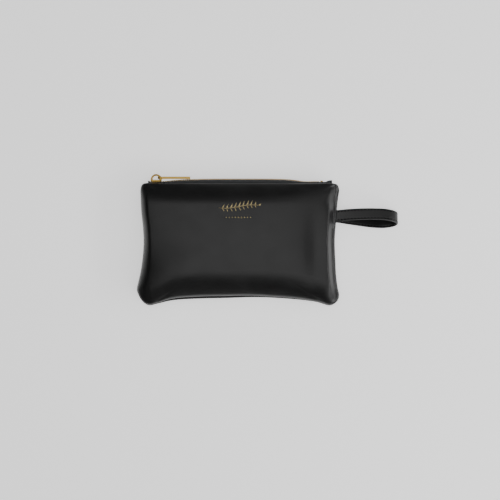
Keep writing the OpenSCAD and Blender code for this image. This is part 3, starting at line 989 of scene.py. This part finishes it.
def ribbon(line, half_widths):
    """A thin strip of foil that lies on the panel along a flat line."""
    line = np.asarray(line)
    slope = np.gradient(line, axis=0)
    across = np.stack([-slope[:, 1], slope[:, 0]], 1) / np.linalg.norm(slope, axis=1)[:, None]
    rows = []
    for middle, side, half in zip(line, across, half_widths):
        left, right = middle + side * half, middle - side * half
        rows.append([on_front(*left, -FOIL_T / 2), on_front(*right, -FOIL_T / 2),
                     on_front(*right, FOIL_T / 2), on_front(*left, FOIL_T / 2)])
    return tube(np.array(rows, float))


def leaf(base, direction, length, width):
    """A pointed leaf that curls a little towards its tip."""
    share = np.linspace(0, 1, 9)
    angle = math.radians(direction) + 0.35 * share * (1 if direction % 360 < 180 else -1)
    steps = np.column_stack([np.cos(angle), np.sin(angle)]) * length / 8
    line = np.asarray(base) + np.cumsum(steps, 0) - steps[0]
    return ribbon(line, 0.06 + width / 2 * np.sin(math.pi * share) ** 0.8)


def dot(x, y, radius):
    """A small round spot."""
    share = np.linspace(-1, 1, 7)
    line = np.column_stack([x + radius * share, np.full(len(share), y)])
    return ribbon(line, radius * np.sqrt(np.maximum(0.03, 1 - share ** 2)))


MOTIF_X, MOTIF_Y = 0.5, 36.3
STEM_HALF = 19.5
STEM_WAVE = 1.7
LEAF_LEN = 5.2
BERRIES_OVER = 3.9          # from the stem up to the berries
BERRY_R = 0.33
DOTS_Y = 25.6
DOTS_PITCH = 3


def on_stem(share):
    """The point at a share from -1 to 1 along the sprig's wavy stem."""
    return np.array([MOTIF_X + STEM_HALF * share, MOTIF_Y + STEM_WAVE * np.sin(2.4 * share)])


def sprig():
    """A stem with pairs of leaves and berries, above a row of dots."""
    share = np.linspace(-1, 1, 41)
    parts = [ribbon(on_stem(share).T, 0.16 + 0.12 * (1 - share ** 2))]
    for i, place in enumerate(np.linspace(-0.82, 0.82, 9)):
        length = LEAF_LEN - 2.0 * abs(place)
        parts.append(leaf(on_stem(place), 52 + 4 * (i % 2), length, 0.85))
        parts.append(leaf(on_stem(place), -48 - 4 * (i % 2), length * 0.9, 0.8))
    for place in np.linspace(-0.72, 0.72, 8):
        x, y = on_stem(place)
        parts.append(dot(x, y + BERRIES_OVER, BERRY_R))
    parts.append(leaf(on_stem(1), 20, 3.4, 1.2))
    for i in range(-4, 5):
        parts.append(dot(MOTIF_X + DOTS_PITCH * i, DOTS_Y, 0.8 - 0.07 * abs(i)))
    return piece("foil_sprig", parts, foil)


motif = sprig()

# ================= what each piece moves with =================

OPEN_MIDDLE = -8.5          # the middle and half length of the stretch of the mouth that opens
OPEN_HALF = 79.5
OPEN_POWER = 1.3            # how much more pointed than round the opening is
BLEND_FOOT = -52            # below this height the front half stays put
BLEND_RISE = 90             # and this far above it, it follows the mouth fully


def open_weights(made):
    """How far each point of a front piece follows the opening mouth: fully at its middle."""
    count = len(made.data.vertices)
    points = np.empty(count * 3)
    made.data.vertices.foreach_get("co", points)
    x, y = (points.reshape(-1, 3) / MM).T[:2]
    lens = np.maximum(0, 1 - np.square((x - OPEN_MIDDLE) / OPEN_HALF)) ** OPEN_POWER
    return lens * smooth((y - BLEND_FOOT) / BLEND_RISE)


def open_with_mouth(made):
    """Bakes a front piece's place into its mesh. Its weights for following the opening mouth are worked out
    but not kept.
    """
    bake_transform(made)
    open_weights(made).astype(np.float32)


for made in (front, front_lining, front_tape, front_teeth, front_thread, front_stop, motif):
    open_with_mouth(made)
for made in (back, back_lining, back_tape, back_teeth, back_thread):
    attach(made, "pouch_back")
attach(arch, "zip_slider")
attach(pull, "pull_tab")
for made in (outer_layer, inner_layer, strap_thread):
    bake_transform(made)

# ================= floor, light and camera =================


FLOOR_GLOW = 0.9
WORLD_GREY = 0.06


def floor():
    """A wide pale floor, just under the pouch. It glows a little, so that it stays evenly pale."""
    just_under = 0.0003
    bpy.ops.mesh.primitive_plane_add(size=24, location=(0, 0, cad_low[2] - just_under))
    made = bpy.context.object
    made.name = "floor"
    look, _, shader = new_look("floor_look", {"Base Color": (0.86, 0.86, 0.86, 1), "Roughness": 0.9})
    shader.inputs["Emission Color"].default_value = (1, 1, 1, 1)
    shader.inputs["Emission Strength"].default_value = FLOOR_GLOW
    made.data.materials.append(look)


def area_light(name, place, target, size, power):
    """A soft rectangular lamp that shines at the target."""
    lamp = bpy.data.lights.new(name, "AREA")
    lamp.shape = "RECTANGLE"
    lamp.size, lamp.size_y = size
    lamp.energy = power
    made = bpy.data.objects.new(name, lamp)
    made.location = place
    made.rotation_euler = (Vector(target) - Vector(place)).to_track_quat("-Z", "Y").to_euler()
    bpy.context.scene.collection.objects.link(made)
    made.visible_camera = False


def studio():
    """A broad soft lamp overhead, a strip at the right, and two weaker lamps past the right corners."""
    area_light("overhead", (-0.03, -0.02, 1.1), (0, -0.01, 0), (1.15, 0.95), 4.7)
    area_light("right_strip", (0.95, -0.2, 0.5), (0.08, -0.03, 0), (1.1, 0.18), 5)
    area_light("upper_right", (0.55, 0.8, 1.0), (0.03, 0.02, 0), (0.9, 0.5), 1.4)
    area_light("lower_right", (0.7, -0.75, 0.8), (0.06, -0.04, 0), (0.7, 0.5), 3.2)
    world = bpy.data.worlds.new("studio")
    world.use_nodes = True
    grey = (WORLD_GREY, WORLD_GREY, WORLD_GREY, 1)
    world.node_tree.nodes["Background"].inputs["Color"].default_value = grey
    bpy.context.scene.world = world


def camera():
    """Looks straight down at the pouch, and sees a field 500 mm wide."""
    lens, sensor, field = 100, 36, 0.5
    data = bpy.data.cameras.new("camera")
    data.lens = lens
    data.sensor_width = sensor
    made = bpy.data.objects.new("camera", data)
    made.location = (0.012, -0.0066, SEAM_Z * MM + field * lens / sensor)
    bpy.context.scene.collection.objects.link(made)
    bpy.context.scene.camera = made


floor()
studio()
camera()
